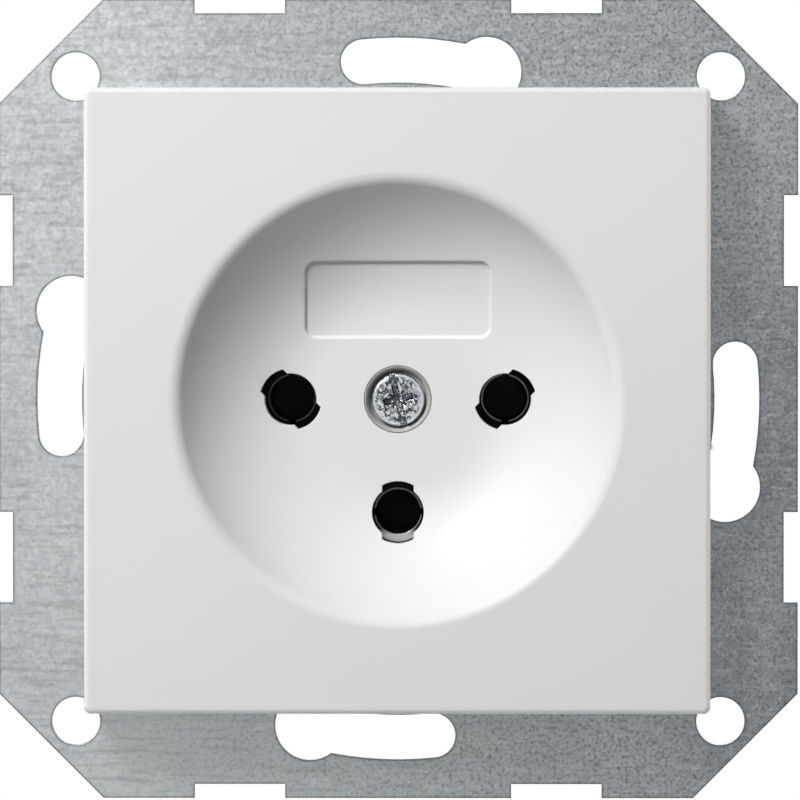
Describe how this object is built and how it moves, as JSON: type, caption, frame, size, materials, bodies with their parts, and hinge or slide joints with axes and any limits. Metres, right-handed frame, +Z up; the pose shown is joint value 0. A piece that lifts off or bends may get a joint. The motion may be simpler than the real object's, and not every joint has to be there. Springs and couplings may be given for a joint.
{
  "type": "wall socket insert",
  "caption": "Flush wall socket insert: square white cover with a round dish and three lobed pin holes, on a square steel support frame with spreading claws",
  "frame": {"origin": "the wall plane, which is the rear face of the steel frame, at the centre of the four corner holes", "axes": "+X to the right seen from the front, +Z up, and the front of the cover faces -Y"},
  "size_m": [0.071, 0.0326, 0.071],
  "materials": {
    "white_cover": "white moulded thermoset, satin gloss",
    "grey_base": "light grey moulding, dull",
    "grey_rear": "light grey moulding, dull",
    "dark_plate": "black moulding",
    "galvanised_sheet": "galvanised sheet steel with fine spangle",
    "grey_ring": "grey moulding, dull",
    "zinc_screw": "bright zinc plated",
    "zinc_small": "zinc plated",
    "rivet_steel": "zinc plated",
    "tin_bronze": "tinned bronze",
    "contact_brass": "rolled brass sheet",
    "spring_steel": "spring steel",
    "clamp_steel": "zinc plated",
    "terminal_screw_steel": "zinc plated",
    "claw_steel": "galvanised sheet steel",
    "claw_screw_steel": "zinc plated",
    "claw_nut_steel": "zinc plated"
  },
  "bodies": {
    "insert": {"cover": "white_cover", "base": "grey_base", "rear_cover": "grey_rear", "contact_plate": "dark_plate", "support_frame": "galvanised_sheet", "screw_ring": "grey_ring", "cover_screw": "zinc_screw", "centre_nut": "zinc_small", "frame_rivets": "rivet_steel", "earth_strap": "tin_bronze", "live_contact": "contact_brass", "live_spring": "spring_steel", "live_clamp": "clamp_steel", "live_terminal_screw": "terminal_screw_steel", "neutral_contact": "contact_brass", "neutral_spring": "spring_steel", "neutral_clamp": "clamp_steel", "neutral_terminal_screw": "terminal_screw_steel", "earth_contact": "contact_brass", "earth_spring": "spring_steel", "earth_clamp": "clamp_steel", "earth_terminal_screw": "terminal_screw_steel"},
    "right_claw_body": {"right_claw": "claw_steel"},
    "right_claw_screw_body": {"right_claw_screw": "claw_screw_steel"},
    "right_claw_nut_body": {"right_claw_nut": "claw_nut_steel"},
    "left_claw_body": {"left_claw": "claw_steel"},
    "left_claw_screw_body": {"left_claw_screw": "claw_screw_steel"},
    "left_claw_nut_body": {"left_claw_nut": "claw_nut_steel"}
  },
  "joints": [
    {"name": "right_nut_travel", "type": "slide", "parent": "insert", "child": "right_claw_nut_body", "axis": [0, -1, 0], "range_m": [0, 0.008]},
    {"name": "right_screw_turn", "type": "hinge", "parent": "insert", "child": "right_claw_screw_body", "pos_m": [0.0226, 0, 0], "axis": [0, 1, 0], "range_deg": [0, 5760.5]},
    {"name": "right_claw_swing", "type": "hinge", "parent": "insert", "child": "right_claw_body", "pos_m": [0.0219, 0.0022, 0], "axis": [0, 0, -1], "range_deg": [0, 12.87]},
    {"name": "left_nut_travel", "type": "slide", "parent": "insert", "child": "left_claw_nut_body", "axis": [0, -1, 0], "range_m": [0, 0.008]},
    {"name": "left_screw_turn", "type": "hinge", "parent": "insert", "child": "left_claw_screw_body", "pos_m": [-0.0226, 0, 0], "axis": [0, 1, 0], "range_deg": [0, 5760.5]},
    {"name": "left_claw_swing", "type": "hinge", "parent": "insert", "child": "left_claw_body", "pos_m": [-0.0219, 0.0022, 0], "axis": [0, 0, 1], "range_deg": [0, 12.87]}
  ],
  "couplings": [
    {"joint": "right_screw_turn", "follows": "right_nut_travel", "rad_per_m": 12566},
    {"joint": "right_claw_swing", "follows": "right_nut_travel", "rad_per_m": 28.056},
    {"joint": "left_screw_turn", "follows": "left_nut_travel", "rad_per_m": 12566},
    {"joint": "left_claw_swing", "follows": "left_nut_travel", "rad_per_m": 28.056}
  ]
}
